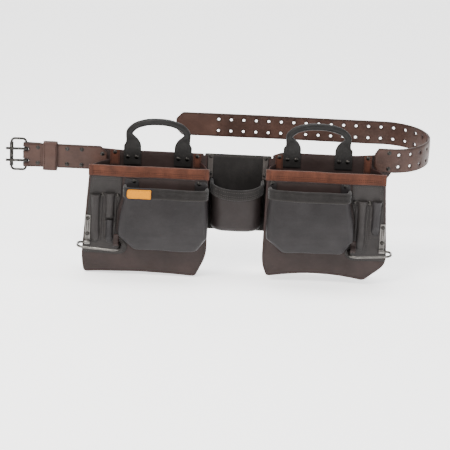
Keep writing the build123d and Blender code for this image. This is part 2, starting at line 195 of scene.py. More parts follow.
def circle(x, y, r, count):
    a = np.linspace(0, 2 * math.pi, count, endpoint=False)
    return np.stack([x + r * np.cos(a), y + r * np.sin(a)], axis=1)


# ---------------------------------------------------------------- meshes


def make(name, verts, faces, material, wear=None):
    """A smooth mesh object from points in millimetres."""
    mesh = bpy.data.meshes.new(name)
    mesh.from_pydata((np.array(verts) * MM).tolist(), [], faces)
    if wear is not None:
        mesh.attributes.new("wear", "FLOAT", "POINT").data.foreach_set("value", np.array(wear, np.float32))
    obj = bpy.data.objects.new(name, mesh)
    bpy.context.scene.collection.objects.link(obj)
    mesh.materials.append(material)
    outward(mesh)
    mesh.polygons.foreach_set("use_smooth", [True] * len(mesh.polygons))
    return obj


def outward(mesh):
    bm = bmesh.new()
    bm.from_mesh(mesh)
    bmesh.ops.recalc_face_normals(bm, faces=bm.faces)
    bm.to_mesh(mesh)
    bm.free()


def triangles(loops, spare, step):
    """Triangles in the first loop and outside the others, and where each loop's points went."""
    low, high = loops[0].min(0), loops[0].max(0)
    columns = np.arange(low[0] + step * 0.5, high[0], step)
    rows = np.arange(low[1] + step * 0.5, high[1], step)
    grid = np.array([(x + (step / 2 if j % 2 else 0), y) for j, y in enumerate(rows) for x in columns])
    rim = np.vstack(loops)
    if len(grid):
        keep = inside(loops[0], grid)
        for hole in loops[1:]:
            keep &= ~inside(hole, grid)
        grid = grid[keep]
    if len(grid):
        near = np.min(np.linalg.norm(grid[:, None, :] - rim[None, :, :], axis=2), axis=1)
        grid = grid[near > step * spare]
    points = np.vstack([rim, grid]) if len(grid) else rim
    edges, start = [], 0
    for loop in loops:
        edges += [(start + i, start + (i + 1) % len(loop)) for i in range(len(loop))]
        start += len(loop)
    found = geometry.delaunay_2d_cdt([Vector(p) for p in points], edges, [], 0, 1e-6)
    verts = np.array([tuple(v) for v in found[0]])
    where = {}
    for new, old in enumerate(found[3]):
        for o in old:
            where[o] = new
    faces = np.array([f for f in found[2] if len(f) == 3])
    middles = verts[faces].mean(axis=1)
    keep = inside(loops[0], middles)
    for hole in loops[1:]:
        keep &= ~inside(hole, middles)
    return verts, faces[keep].tolist(), where


def ply(name, outline, place, thickness, material, holes=(), step=6.0, edge=0.8, cut=None, worn=7.0):
    """A cut piece of leather with rounded edges.

    place(u, v, d) puts it in space, d forwards of its middle. A piece with a cut has its edge left
    open where u is the cut, because its other half carries on from there.
    """
    loops = [turned(resample(outline, step), False)] + [turned(np.array(h), True) for h in holes]
    edge = min(edge, thickness / 2)

    def drawn_in(loop, amount):
        moved = inset(loop, amount)
        if cut is not None:
            at_cut = np.abs(loop[:, 0] - cut) < 1e-6
            moved[at_cut, 0] = cut
        return moved

    flat, faces, where = triangles([drawn_in(loop, edge) for loop in loops], 0.55, step)
    half = thickness / 2
    rim_points = np.vstack(loops)
    gone = np.min(np.linalg.norm(flat[:, None, :] - rim_points[None, :, :], axis=2), axis=1)
    flat_wear = np.clip(1 - gone / worn, 0, 1)
    count = len(flat)
    verts = [place(flat[:, 0], flat[:, 1], np.full(count, d)) for d in (half, -half)]
    wear = [flat_wear, flat_wear]
    faces = [list(f) for f in faces] + [[i + count for i in reversed(f)] for f in faces]
    base, start = 2 * count, 0
    soft = edge / half
    rings = ((0.3, 1 - 0.3 * soft), (0.0, 1 - soft), (0.0, -1 + soft), (0.3, -1 + 0.3 * soft))
    for loop in loops:
        n = len(loop)
        chain = [[where[start + i] for i in range(n)]]
        for share, d in rings:
            at = drawn_in(loop, edge * share)
            verts.append(place(at[:, 0], at[:, 1], np.full(n, half * d)))
            wear.append(np.ones(n))
            chain.append(list(range(base, base + n)))
            base += n
        chain.append([where[start + i] + count for i in range(n)])
        for a, b in zip(chain, chain[1:]):
            for i in range(n):
                j = (i + 1) % n
                if cut is not None and max(abs(loop[i][0] - cut), abs(loop[j][0] - cut)) < 1e-6:
                    continue
                faces.append([a[i], b[i], b[j], a[j]])
        start += n
    return make(name, np.vstack(verts), faces, material, np.concatenate(wear))


def thick(name, grid, thickness, material, closed=False, worn=7.0):
    """A sheet through a grid of points, rows by columns, with its thickness behind it and rounded ends."""
    rows, cols = grid.shape[:2]
    if closed:
        across = np.roll(grid, -1, axis=1) - np.roll(grid, 1, axis=1)
    else:
        across = np.gradient(grid, axis=1)
    normal = np.cross(across, np.gradient(grid, axis=0))
    normal /= np.maximum(np.linalg.norm(normal, axis=2), 1e-9)[..., None]
    back = grid - normal * thickness
    along = np.linalg.norm(np.gradient(grid, axis=0), axis=2).cumsum(axis=0)
    side = np.linalg.norm(across, axis=2).cumsum(axis=1)
    gone = np.minimum(along, along[-1:] - along)
    if not closed:
        gone = np.minimum(gone, np.minimum(side, side[:, -1:] - side))
    wear = np.clip(1 - gone / worn, 0, 1)
    verts = [grid.reshape(-1, 3), back.reshape(-1, 3)]
    wears = [wear.ravel(), wear.ravel()]
    count = rows * cols
    faces = []
    last = cols if closed else cols - 1
    for r in range(rows - 1):
        for c in range(last):
            d = (c + 1) % cols
            quad = [r * cols + c, r * cols + d, (r + 1) * cols + d, (r + 1) * cols + c]
            faces += [quad, [i + count for i in reversed(quad)]]
    rims = [[(r, c) for c in range(cols)] for r in (0, rows - 1)]
    if not closed:
        left, right = [(r, 0) for r in range(rows)], [(r, cols - 1) for r in range(rows)]
        rims = [rims[0] + right[1:] + rims[1][::-1][1:] + left[::-1][1:-1]]
    base = 2 * count
    for spots in rims:
        middle = []
        for r, c in spots:
            inner = grid[min(max(r, 1), rows - 2), c if closed else min(max(c, 1), cols - 2)]
            out = grid[r, c] - inner
            out = out / max(np.linalg.norm(out), 1e-9)
            middle.append((grid[r, c] + back[r, c]) / 2 + out * abs(thickness) * 0.35)
        verts.append(np.array(middle))
        wears.append(np.ones(len(middle)))
        n = len(spots)
        for i in range(n):
            j = (i + 1) % n
            (ra, ca), (rb, cb) = spots[i], spots[j]
            a, b = ra * cols + ca, rb * cols + cb
            faces += [[a, b, base + j, base + i], [base + i, base + j, b + count, a + count]]
        base += n
    return make(name, np.vstack(verts), faces, material, np.concatenate(wears))


def loft(name, rings, material, wear):
    """A closed body through rings of points, with one wear a ring."""
    rings = np.array(rings)
    count, n = rings.shape[:2]
    verts = np.vstack([rings.reshape(-1, 3), rings[0].mean(0)[None], rings[-1].mean(0)[None]])
    faces = []
    for r in range(count - 1):
        for i in range(n):
            j = (i + 1) % n
            faces.append([r * n + i, r * n + j, (r + 1) * n + j, (r + 1) * n + i])
    for i in range(n):
        j = (i + 1) % n
        faces.append([count * n, i, j])
        faces.append([count * n + 1, (count - 1) * n + i, (count - 1) * n + j])
    return make(name, verts, faces, material, np.concatenate([np.repeat(wear, n), [0, 0]]))


class Bits:
    """Many small parts gathered into one mesh, such as a body's stitches or its rivets."""

    def __init__(self):
        self.verts, self.faces, self.count = [], [], 0

    def add(self, verts, faces):
        self.verts.append(verts)
        self.faces += [[i + self.count for i in f] for f in faces]
        self.count += len(verts)

    def build(self, name, material):
        return make(name, np.vstack(self.verts), self.faces, material)


STITCH_SIDES = 6
STITCH_RINGS = ((-0.38, 0.75), (0.0, 1.0), (0.38, 0.75))


def stitch(bits, at, along, normal, length, radius):
    """One thread: a short bead that dips at its ends."""
    side = np.cross(normal, along)
    verts = [at - along * length / 2 - normal * radius * 0.5]
    for shift, size in STITCH_RINGS:
        for k in range(STITCH_SIDES):
            a = 2 * math.pi * k / STITCH_SIDES
            round_it = math.cos(a) * side + math.sin(a) * normal
            verts.append(at + along * length * shift + radius * size * round_it)
    verts.append(at + along * length / 2 - normal * radius * 0.5)
    n = STITCH_SIDES
    faces = []
    for k in range(n):
        j = (k + 1) % n
        faces.append([0, 1 + j, 1 + k])
        for r in range(2):
            a = 1 + r * n
            faces.append([a + k, a + j, a + n + j, a + n + k])
        faces.append([1 + 2 * n + k, 1 + 2 * n + j, 1 + 3 * n])
    bits.add(np.array(verts), faces)


def seam(bits, line, normals, pitch=4.4, length=3.3, radius=0.42):
    """A row of stitches along a line of points that lies on a surface."""
    line, normals = np.array(line, float), np.array(normals, float)
    far = np.concatenate([[0], np.cumsum(np.linalg.norm(np.diff(line, axis=0), axis=1))])
    for s in np.arange(pitch * 0.6, far[-1] - pitch * 0.4, pitch):
        at = np.array([np.interp(s, far, line[:, k]) for k in range(3)])
        ahead = np.array([np.interp(s + 0.5, far, line[:, k]) for k in range(3)])
        normal = np.array([np.interp(s, far, normals[:, k]) for k in range(3)])
        along = ahead - at
        if np.linalg.norm(along) < 1e-6:
            continue
        along /= np.linalg.norm(along)
        normal -= along * (normal @ along)
        stitch(bits, at, along, normal / max(np.linalg.norm(normal), 1e-9), length, radius)


def seam_on(bits, place, path, depth, closed=False, **size):
    """Stitches along a path on a piece that place() lays."""
    path = np.array(path, float)
    if closed:
        path = np.vstack([path, path[:1]])
    path = resample(path, 3.0, closed=False)
    at = place(path[:, 0], path[:, 1], np.full(len(path), depth))
    above = place(path[:, 0], path[:, 1], np.full(len(path), depth + 1.0))
    seam(bits, at, above - at, **size)


RIVET_HEAD = (
    (0.0, 1.55), (1.2, 1.5), (2.3, 1.25), (3.1, 0.85), (3.5, 0.5),
    (3.7, 0.42), (4.3, 0.4), (4.5, 0.2), (4.5, -0.1),
)  # fmt: skip
RIVET_CAP = ((0.0, 0.75), (1.1, 0.78), (1.3, 0.6), (2.6, 0.6), (3.3, 0.4), (3.5, 0.1), (3.5, -0.1))


def turned_part(bits, profile, x, depth, z, forwards=1, sides=20):
    """A round head, profile as (radius, height), on a surface at this depth."""
    verts = [(x, -(depth + forwards * profile[0][1]), z)]
    for r, h in profile[1:]:
        for k in range(sides):
            a = 2 * math.pi * k / sides
            verts.append((x + r * math.cos(a), -(depth + forwards * h), z + r * math.sin(a)))
    faces = [[0, 1 + k, 1 + (k + 1) % sides] for k in range(sides)]
    for ring in range(len(profile) - 2):
        a = 1 + ring * sides
        for k in range(sides):
            j = (k + 1) % sides
            faces.append([a + k, a + sides + k, a + sides + j, a + j])
    bits.add(np.array(verts), faces)


# ---------------------------------------------------------------- materials


class Nodes:
    """A material's node tree, with short calls for the nodes used here."""

    def __init__(self, name):
        self.material = bpy.data.materials.new(name)
        self.material.use_nodes = True
        self.tree = self.material.node_tree
        self.shader = self.tree.nodes["Principled BSDF"]
        self.where = self.add("ShaderNodeTexCoord").outputs["Object"]

    def add(self, kind, **settings):
        node = self.tree.nodes.new(kind)
        for key, value in settings.items():
            setattr(node, key, value)
        return node

    def link(self, a, b):
        self.tree.links.new(a, b)

    def noise(self, scale, detail=4.0, rough=0.55, stretch=None):
        node = self.add("ShaderNodeTexNoise")
        node.inputs["Scale"].default_value = scale
        node.inputs["Detail"].default_value = detail
        node.inputs["Roughness"].default_value = rough
        self.link(self.stretched(stretch), node.inputs["Vector"])
        return node.outputs["Fac"]

    def cells(self, scale):
        node = self.add("ShaderNodeTexVoronoi")
        node.inputs["Scale"].default_value = scale
        self.link(self.where, node.inputs["Vector"])
        return node.outputs["Distance"]

    def stretched(self, stretch):
        if stretch is None:
            return self.where
        node = self.add("ShaderNodeMapping")
        node.inputs["Scale"].default_value = stretch
        self.link(self.where, node.inputs["Vector"])
        return node.outputs["Vector"]

    def ramp(self, source, stops):
        node = self.add("ShaderNodeValToRGB")
        elements = node.color_ramp.elements
        while len(elements) < len(stops):
            elements.new(0.5)
        for element, (position, colour) in zip(elements, stops):
            element.position = position
            element.color = (*colour, 1) if hasattr(colour, "__len__") else (colour, colour, colour, 1)
        self.link(source, node.inputs["Fac"])
        return node.outputs["Color"]

    def feed(self, socket, value):
        """A link, a colour or a plain number into a socket."""
        if isinstance(value, bpy.types.NodeSocket):
            self.link(value, socket)
        elif hasattr(value, "__len__"):
            socket.default_value = (*value, 1)
        else:
            socket.default_value = value

    def shade(self, **values):
        """Feed the shader's sockets, each named here in lower case with underscores."""
        sockets = {socket.name.lower().replace(" ", "_"): socket for socket in self.shader.inputs}
        for name, value in values.items():
            self.feed(sockets[name], value)

    def mix(self, amount, a, b, blend="MIX"):
        node = self.add("ShaderNodeMix", data_type="RGBA", blend_type=blend)
        for name, value in (("Factor", amount), ("A", a), ("B", b)):
            self.feed(node.inputs[name], value)
        return node.outputs["Result"]

    def maths(self, operation, a, b):
        node = self.add("ShaderNodeMath", operation=operation)
        for socket, value in zip(node.inputs, (a, b)):
            self.feed(socket, value)
        return node.outputs["Value"]

    def bump(self, height, distance, strength, under=None):
        node = self.add("ShaderNodeBump")
        node.inputs["Strength"].default_value = strength
        node.inputs["Distance"].default_value = distance
        self.link(height, node.inputs["Height"])
        if under is not None:
            self.link(under, node.inputs["Normal"])
        return node.outputs["Normal"]

    def wear(self):
        return self.add("ShaderNodeAttribute", attribute_name="wear").outputs["Fac"]


def tinted(colour, amount):
    return tuple(min(1.0, c * amount) for c in colour)


def leather(name, colour, rough, edge, edge_share, grain=0.00012, mottle=0.25):
    """Full-grain leather: pebbled grain, blotches of oil, scuffs, creases and burnished or pale edges."""
    n = Nodes(name)
    blotch = n.noise(16, 5, 0.6)
    pale, deep = tinted(colour, 1 + mottle), tinted(colour, 1 - mottle)
    base = n.ramp(blotch, [(0.3, deep), (0.55, colour), (0.75, pale)])
    scuff = n.ramp(n.noise(90, 6, 0.7, (1, 1, 2.2)), [(0.58, 0.0), (0.72, 1.0)])
    base = n.mix(n.maths("MULTIPLY", scuff, 0.28), base, tinted(colour, 1.9))
    pores = n.ramp(n.cells(1500), [(0.0, 0.72), (0.35, 1.0)])
    base = n.mix(0.6, base, pores, "MULTIPLY")
    ragged = n.maths("MULTIPLY", n.wear(), n.maths("ADD", n.noise(240, 3), 0.45))
    base = n.mix(n.ramp(ragged, [(0.35, 0.0), (0.85, edge_share)]), base, edge)
    gloss = n.ramp(n.noise(45, 4, 0.6), [(0.3, rough - 0.08), (0.7, rough + 0.1)])
    creases = n.bump(n.noise(38, 5, 0.55, (1, 1, 1.6)), 0.0016, 0.6)
    pebbles = n.bump(n.cells(1100), grain, 0.7, creases)
    fine = n.bump(n.noise(2600, 3, 0.6), grain * 0.5, 0.5, pebbles)
    n.shade(base_color=base, roughness=gloss, specular_ior_level=0.2, normal=fine)
    return n.material


def suede(name, colour, edge):
    """Napped split leather: soft, dull, brushed lighter and darker in patches."""
    n = Nodes(name)
    brushed = n.noise(55, 6, 0.7, (1, 1, 0.55))
    base = n.ramp(brushed, [(0.3, tinted(colour, 0.66)), (0.5, colour), (0.72, tinted(colour, 1.45))])
    nap = n.ramp(n.noise(1400, 4, 0.75), [(0.3, 0.6), (0.7, 1.15)])
    base = n.mix(0.75, base, nap, "MULTIPLY")
    base = n.mix(n.maths("MULTIPLY", n.wear(), 0.6), base, edge)
    soft = n.bump(n.noise(70, 4, 0.6), 0.0012, 0.6)
    napped = n.bump(n.noise(1700, 4, 0.8), 0.00035, 0.9, soft)
    n.shade(base_color=base, roughness=0.92, specular_ior_level=0.2, normal=napped)
    n.shade(sheen_weight=0.16, sheen_roughness=0.5)
    return n.material


def metal(name, colour, rough, worn):
    """Plated metal with fine brushing, tarnish in patches and small dents."""
    n = Nodes(name)
    tarnish = n.noise(130, 5, 0.65)
    base = n.ramp(tarnish, [(0.3, tinted(colour, 0.75)), (0.55, colour), (0.8, worn)])
    brushed = n.noise(420, 3, 0.7, (0.15, 1, 4))
    gloss = n.ramp(brushed, [(0.3, rough - 0.08), (0.7, rough + 0.14)])
    dents = n.bump(n.noise(160, 4, 0.6), 0.00025, 0.5)
    scratched = n.bump(brushed, 0.00004, 0.5, dents)
    n.shade(base_color=base, metallic=1.0, roughness=gloss, normal=scratched)
    return n.material


def woven(name, colour, thread):
    """A close woven label or twisted thread."""
    n = Nodes(name)
    warp = n.add("ShaderNodeTexWave", wave_type="BANDS", bands_direction="DIAGONAL")
    warp.inputs["Scale"].default_value = thread
    warp.inputs["Distortion"].default_value = 0.6
    n.link(n.where, warp.inputs["Vector"])
    base = n.ramp(warp.outputs["Fac"], [(0.2, tinted(colour, 0.75)), (0.8, colour)])
    raised = n.bump(warp.outputs["Fac"], 0.0002, 0.6)
    n.shade(base_color=base, roughness=0.75, specular_ior_level=0.1, normal=raised)
    return n.material


def floor_finish():
    n = Nodes("pale_floor")
    base = n.ramp(n.noise(3, 2), [(0.2, 0.95), (0.8, 0.97)])
    n.shade(base_color=base, roughness=0.9, emission_color=(1, 1, 1), emission_strength=1.3)
    return n.material


BLACK = leather("black_leather", (0.0155, 0.0138, 0.0145), 0.46, (0.012, 0.01, 0.01), 0.6)
DARK = leather("dark_leather", (0.025, 0.0162, 0.0148), 0.5, (0.02, 0.006, 0.005), 0.7)
PATCH_LEATHER = leather("grey_patch_leather", (0.021, 0.0185, 0.018), 0.55, (0.011, 0.0095, 0.009), 0.6)
OILED = leather("oiled_leather", (0.055, 0.029, 0.0225), 0.42, (0.02, 0.0085, 0.006), 0.85, 0.00015, 0.4)
BLACK_LOW = leather("centre_leather", (0.017, 0.0128, 0.0125), 0.52, (0.012, 0.01, 0.01), 0.5)
BROWN_SUEDE = suede("brown_suede", (0.07, 0.023, 0.0125), (0.035, 0.011, 0.007))
BLACK_SUEDE = suede("black_suede", (0.0115, 0.0102, 0.0098), (0.03, 0.027, 0.025))
GREY = leather("grey_leather", (0.05, 0.043, 0.04), 0.6, (0.09, 0.08, 0.075), 0.4)
HANDLE = leather("handle_leather", (0.0095, 0.0088, 0.0085), 0.45, (0.03, 0.028, 0.027), 0.4)
STEEL = metal("nickel_steel", (0.15, 0.142, 0.135), 0.34, (0.24, 0.23, 0.215))
WIRE = metal("loop_wire", (0.1, 0.094, 0.088), 0.3, (0.24, 0.23, 0.21))
GUNMETAL = metal("gunmetal", (0.035, 0.033, 0.031), 0.32, (0.13, 0.12, 0.11))
YELLOW = woven("yellow_label", (0.6, 0.22, 0.001), 700)
THREAD = woven("grey_thread", (0.06, 0.055, 0.052), 2600)
DARK_THREAD = woven("dark_thread", (0.018, 0.016, 0.0155), 2600)
BROWN_THREAD = woven("brown_thread", (0.018, 0.008, 0.006), 2600)


def settle(obj, body, slot, *nodes):
    """The finished piece rides on its body and stands for these CAD nodes."""
    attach(obj, body)
    if nodes:
        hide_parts(*nodes)
    return obj


# ---------------------------------------------------------------- pouch surfaces


def belly(side, x, z):
    """How far the pouch's face swells forwards of its plane, dying out near the hammer loop's hardware."""
    u = np.abs(x)
    across = smooth((u - 60) / 50) * smooth((292 - u) / 50)
    return (2.2 + ripple(u, z, 0.8, 1.0 if side == "left" else 2.6)) * across * smooth((10 - z) / 60)


def face_place(side, depth):
    """place() for a piece on the pouch's face, its middle at this depth."""

    def place(x, z, d):
        return np.stack([x, -(depth + d + belly(side, x, z)), z], axis=1)

    return place


def flat_place(depth, amount, seed):
    """place() for a piece on the waist side, nearly flat."""

    def place(x, z, d):
        return np.stack([x, -(depth + d + ripple(x, z, amount, seed)), z], axis=1)

    return place


def mirrored(side, points):
    sign = POUCHES[side]["sign"]
    return [(sign * u, v) for u, v in points]


def front_outline(pouch):
    """The pouch front, its foot corners softened and its foot arched."""
    feet = [(x, pouch["foot_z"]) for x in pouch["foot"]]
    middle = ((feet[0][0] + feet[1][0]) / 2, pouch["foot_z"] + 2 * pouch["arch"])
    arc = [
        ((1 - t) ** 2 * feet[1][0] + 2 * t * (1 - t) * middle[0] + t * t * feet[0][0],
         (1 - t) ** 2 * feet[1][1] + 2 * t * (1 - t) * middle[1] + t * t * feet[0][1])
        for t in np.linspace(0, 1, 9)
    ]  # fmt: skip
    corners = [
        (pouch["mouth"][0], pouch["top"]),
        (pouch["cheek"][0], pouch["cheek_z"][0]),
        *reversed(arc),
        (pouch["cheek"][1], pouch["cheek_z"][1]),
        (pouch["mouth"][1], pouch["top"]),
    ]
    radii = [1, 19, 7] + [0] * 7 + [7, 19, 1]
    return rounded(corners, radii)


def make_gusset(side, pouch):
    """Sides and floor in one strip, creased softly, and narrower and shallower at the back."""
    back_height, strip_depth = 0.93, 56.5
    line = evenly(front_outline(pouch), 90)
    low, high = pouch["mouth"]
    scale = (pouch["back"][1] - pouch["back"][0]) / (high - low)
    back = np.stack([pouch["back"][0] + (line[:, 0] - low) * scale, line[:, 1] * back_height], axis=1)
    along = np.gradient(line, axis=0)
    along /= np.linalg.norm(along, axis=1)[:, None]
    out = np.stack([along[:, 1], -along[:, 0]], axis=1)
    fullness = np.where(np.abs(out[:, 1]) > 0.7, -1.5, 2.6) + ripple(line[:, 0], line[:, 1], 0.9, 3.0)
    rows = []
    for t in np.linspace(0, 1, 16):
        at = back + (line - back) * t - out * 0.15
        at = at + out * (fullness * math.sin(math.pi * t))[:, None]
        depth = PANEL_T + t * strip_depth
        rows.append(np.stack([at[:, 0], np.full(len(at), -depth), at[:, 1]], axis=1))
    grid = np.array(rows)
    centre = grid.reshape(-1, 3).mean(0)
    normal = np.cross(grid[5, 21] - grid[5, 20], grid[6, 20] - grid[5, 20])
    wall = WALL if normal @ (grid[5, 20] - centre) > 0 else -WALL
    settle(thick(f"{side}_side_gusset", grid, wall, DARK), f"{side}_pouch", "dark_leather", f"{side}_gusset")


def make_front(side, pouch, thread):
    outline = front_outline(pouch)
    place = face_place(side, FRONT - WALL / 2)
    front = ply(f"{side}_main_front", outline, place, WALL, DARK, edge=1.2, worn=5)
    settle(front, f"{side}_pouch", "dark_leather", f"{side}_pouch_front")
    loop = edge_path(outline, 5.0)
    loop = loop[loop[:, 1] < pouch["top"] - 21]
    start = int(np.argmax(np.linalg.norm(np.diff(loop, axis=0), axis=1))) + 1
    loop = np.roll(loop, -start, axis=0)
    seam_on(thread, face_place(side, FRONT), loop, 0.1)


def make_binding(side, pouch):
    """Suede folded over the front's mouth, with its ends turned round the corners."""
    low, high = pouch["mouth"]
    top = pouch["top"]
    xs = np.linspace(low - 0.8, high + 0.8, 70)
    up_front = [(2.3, -20.0), (2.5, -10), (2.4, -1.0), (1.0, 1.6)]
    down_inside = [(-2.0, 1.9), (-4.9, 0.6), (-5.4, -6), (-5.2, -19)]
    profile = curve(up_front + down_inside, 26)
    rows = []
    for d, z in profile:
        sag = ripple(xs, np.full_like(xs, z * 2), 0.5, 4.0)
        waved = top + z + ripple(xs, np.zeros_like(xs), 0.35, 5.0)
        rows.append(np.stack([xs, -(FRONT + d + sag * 0.6 + belly(side, xs, waved)), waved], axis=1))
    binding = thick(f"{side}_mouth_suede", np.array(rows), 1.8, BROWN_SUEDE)
    settle(binding, f"{side}_pouch", "brown_suede", f"{side}_mouth_binding")
    thread = Bits()
    for row in (3, 5):
        line = np.array(rows[row])[2:-2]
        seam(thread, line + np.array([0, -0.15, 0]), np.tile([0, -1, 0.0], (len(line), 1)))
    settle(thread.build(f"{side}_mouth_stitching", BROWN_THREAD), f"{side}_pouch", "brown_suede")
    for end, x in (("a", low), ("b", high)):
        fold = [(x - 7, top - 20), (x + 7, top - 20), (x + 7, top + 1), (x - 7, top + 1)]
        inner = 1 if end == "a" else -1

        def place(a, z, d, x=x, inner=inner):
            turn = np.clip((a - x) * inner, -7, 7)
            wrap = smooth((turn + 2) / 4)
            depth = FRONT + 2.9 + d + np.minimum(turn, 0) * 1.4
            across = x + inner * np.where(turn > 0, turn, -1.4 - d * (1 - wrap))
            return np.stack([across, -depth, z], axis=1)

        tab = ply(f"{side}_mouth_corner_{end}", fold, place, 1.4, BROWN_SUEDE, step=2.5, edge=0.5)
        settle(tab, f"{side}_pouch", "brown_suede")


def panel_outline(side, pouch):
    inner_top, top = pouch["panel_top"]
    flange_u, flange_low, flange_top = pouch["flange"]
    bottom = pouch["panel_bottom"]
    points = [
        (71.5, inner_top), (90, top), (245, top), (flange_u, flange_top), (flange_u, flange_low),
        (290, flange_low - 40), (288, bottom + 14), (274, bottom), (90, bottom), (71.5, bottom + 26),
    ]  # fmt: skip
    return rounded(mirrored(side, points), [3, 6, 10, 5, 12, 20, 8, 8, 14, 4])


def make_panel(side, pouch, thread):
    outline = panel_outline(side, pouch)
    place = flat_place(PANEL_T / 2, 0.25, 6.0)
    panel = ply(f"{side}_back_leather", outline, place, PANEL_T, DARK, edge=1.3)
    settle(panel, f"{side}_pouch", "dark_leather", f"{side}_back_panel")
    edge = edge_path(outline, 4.5)
    seam_on(thread, flat_place(PANEL_T, 0.25, 6.0), edge, 0.1, closed=True)
    back = flat_place(0.0, 0.25, 6.0)

    def behind(x, z, d):
        return back(x, z, -d)

    seam_on(thread, behind, edge, 0.1, closed=True)


def make_stays(side, pouch, thread):
    low = pouch["top"] - 12
    for i, (u, half, top) in enumerate(pouch["stays"]):
        corners = [(u - half, top), (u + half, top), (u + half, low), (u - half, low)]
        outline = rounded(mirrored(side, corners), 2.5)
        place = flat_place(PANEL_T + 1.2, 0.3, 7.0)
        stay = ply(f"{side}_stay_{i}", outline, place, 1.9, BROWN_SUEDE, step=4)
        settle(stay, f"{side}_pouch", "brown_suede", *([f"{side}_stays"] if i == 0 else []))
        seam_on(thread, place, edge_path(outline, 2.2, 3), 1.05, closed=True)


# ---------------------------------------------------------------- pockets


def bowed(x, low, high):
    """1 at the middle of a span, falling in a curve to 0 at its ends."""
    return np.clip(1 - ((x - (low + high) / 2) / ((high - low) / 2)) ** 2, 0, 1)


def pocket_section(low, high, back, face, radius, crown, count=48):
    """Half a rounded rectangle seen from above, from its back left to its back right, bowed forwards."""
    radius = min(radius, (high - low) / 2 * 0.9, (face - back) * 0.9)
    path = [(low, back), (low, face - radius)]
    for a in np.linspace(0.15, math.pi / 2, 7):
        path.append((low + radius * (1 - math.cos(a)), face - radius * (1 - math.sin(a))))
    path += [(high - (x - low), d) for x, d in reversed(path)]
    line = evenly(np.array(path), count)
    line[:, 1] += crown * bowed(line[:, 0], low, high) * (line[:, 1] - back) / (face - back)
    return line


def stood_off(line, height, back, depth, side):
    """A section in space at this height, a little uneven and swollen with its pouch's face."""
    x = line[:, 0]
    swell = ripple(x, height, 1.0, 9.0) * (line[:, 1] - back) / max(depth - back, 1)
    lean = 0 if side is None else belly(side, x, height)
    return np.stack([x, -(line[:, 1] + swell + lean), height], axis=1)


def pocket_grid(levels, back, radius, crown, rows, side=None, dip=0.0):
    """Sections through (z, low, high, depth, crown share) levels, from the mouth to the closed foot."""
    keys = np.array(levels, float)
    through = curve(keys, rows)
    grid = []
    for z, low, high, depth, share in through:
        line = pocket_section(low, high, back, max(depth, back + 1.0), radius, crown * share)
        x = line[:, 0]
        fade = np.clip((z - keys[-1, 0]) / (keys[0, 0] - keys[-1, 0]), 0, 1)
        unevenness = ripple(x, np.full_like(x, z), 0.5, 8.0) * (1 - fade)
        height = z - dip * bowed(x, low, high) * fade + unevenness
        grid.append(stood_off(line, height, back, depth, side))
    return np.array(grid)


def collar_grid(levels, back, radius, crown, side=None, dip=0.0):
    """The folded strip round a pocket's mouth: up the outside, over the edge and down inside."""
    z, low, high, depth, _ = levels[0]
    up_outside = [(2.1, -20.0), (2.3, -10.0), (2.2, -2.5), (1.2, 0.9)]
    down_inside = [(-1.4, 1.4), (-4.2, 0.4), (-4.8, -5), (-4.6, -16)]
    profile = curve(up_outside + down_inside, 22)
    grid = []
    for out, rise in profile:
        line = pocket_section(low - out, high + out, back, depth + out, radius + out, crown)
        x = line[:, 0]
        height = z + rise - dip * bowed(x, low, high) + ripple(x, np.zeros_like(x), 0.3, 10.0)
        grid.append(stood_off(line, height, back, depth, side))
    return np.array(grid)


def grid_seam(bits, grid, row, skip=2, lift=0.2):
    line = grid[row]
    across = np.gradient(grid, axis=1)[row]
    down = np.gradient(grid, axis=0)[row]
    normal = np.cross(across, down)
    normal /= np.linalg.norm(normal, axis=1)[:, None]
    if normal[len(normal) // 2][1] > 0:
        normal = -normal
    line = line + normal * lift
    seam(bits, line[skip : len(line) - skip], normal[skip : len(line) - skip])


def facing_out(grid):
    """1 if the grid's normals look forwards at its middle, else -1."""
    r, c = grid.shape[0] // 3, grid.shape[1] // 2
    normal = np.cross(grid[r, c + 1] - grid[r, c - 1], grid[r + 1, c] - grid[r - 1, c])
    return 1 if normal[1] < 0 else -1


